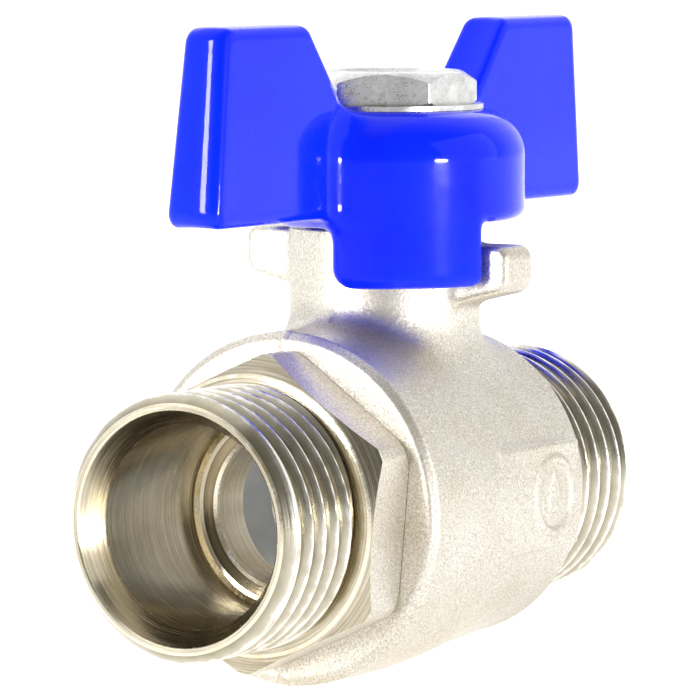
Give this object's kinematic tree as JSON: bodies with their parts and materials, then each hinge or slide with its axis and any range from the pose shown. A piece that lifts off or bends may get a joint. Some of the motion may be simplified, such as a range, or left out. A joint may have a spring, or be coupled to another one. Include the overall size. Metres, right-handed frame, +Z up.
{
  "type": "water shutoff valve",
  "caption": "Quarter-turn ball valve with male parallel pipe threads at both ends, a hexagon end connector, a stem with a gland nut and a butterfly handle with a stop tab.",
  "frame": {"origin": "centre of the ball, where the flow axis crosses the stem axis", "axes": "+X along the flow, from the hexagon end towards the plain end; +Z up the stem; the handle is drawn open, along X"},
  "size_m": [0.0596, 0.0282, 0.0525],
  "materials": {
    "nickel_brass": "nickel plated, sand-blasted forging with bright machined threads",
    "chromed_brass": "polished chrome plate",
    "ptfe": "waxy, pale grey-blue",
    "bare_brass": "turned",
    "seal_rubber": "black, smooth",
    "blue_enamel": "glossy, thick with rounded edges",
    "zinc_steel": "bright zinc plate with light pits"
  },
  "bodies": {
    "body": {"valve_body": "nickel_brass", "end_connector": "nickel_brass", "inlet_seat": "ptfe", "outlet_seat": "ptfe", "stem_thrust_washer": "ptfe", "packing_ring": "ptfe", "gland_nut": "bare_brass"},
    "handle_stem": {"stem": "bare_brass", "stem_oring": "seal_rubber", "handle": "blue_enamel", "flat_washer": "zinc_steel", "handle_nut": "zinc_steel"},
    "ball": {"ball": "chromed_brass"}
  },
  "joints": [
    {"name": "handle_turn", "type": "hinge", "parent": "body", "child": "handle_stem", "pos_m": [0, 0, 0], "axis": [0, 0, -1], "range_deg": [0, 90]},
    {"name": "ball_turn", "type": "hinge", "parent": "body", "child": "ball", "pos_m": [0, 0, 0], "axis": [0, 0, -1], "range_deg": [0, 90]}
  ],
  "couplings": [
    {"joint": "ball_turn", "follows": "handle_turn", "ratio": 1}
  ]
}
